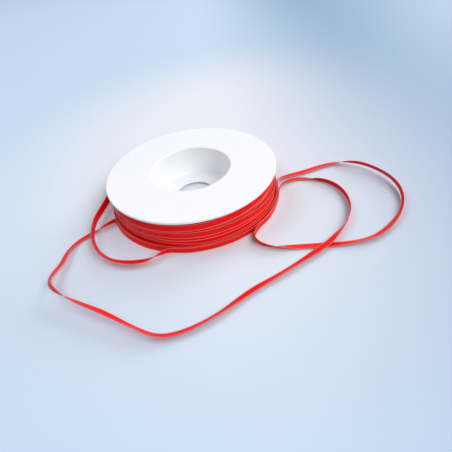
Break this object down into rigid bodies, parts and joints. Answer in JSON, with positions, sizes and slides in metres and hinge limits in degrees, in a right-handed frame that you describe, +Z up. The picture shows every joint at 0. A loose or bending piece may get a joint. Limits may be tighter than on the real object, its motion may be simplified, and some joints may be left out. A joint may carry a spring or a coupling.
{
  "type": "ribbon reel",
  "caption": "Flat reel of narrow satin ribbon: flanged plastic hub cup snapped into a lower flange, wound with ribbon whose end lies loose in wide loops.",
  "frame": {"origin": "on the table, on the reel's axis", "axes": "+Z up along the reel's axis, out of the hub cup's mouth; +X towards the larger free loop; -Y towards the long free strand"},
  "size_m": [0.1524, 0.1274, 0.0157],
  "materials": {
    "white_plastic": "moulded, satin-gloss, faint turning and flow marks",
    "red_satin": "woven satin with bright lengthwise threads and finished selvedges"
  },
  "bodies": {
    "root": {"upper_flange": "white_plastic", "lower_flange": "white_plastic", "ribbon_core": "red_satin", "ribbon_winding": "red_satin", "ribbon_loose_turn": "red_satin", "ribbon_left_loop": "red_satin", "ribbon_right_loop": "red_satin", "ribbon_front_strand": "red_satin"}
  },
  "joints": []
}
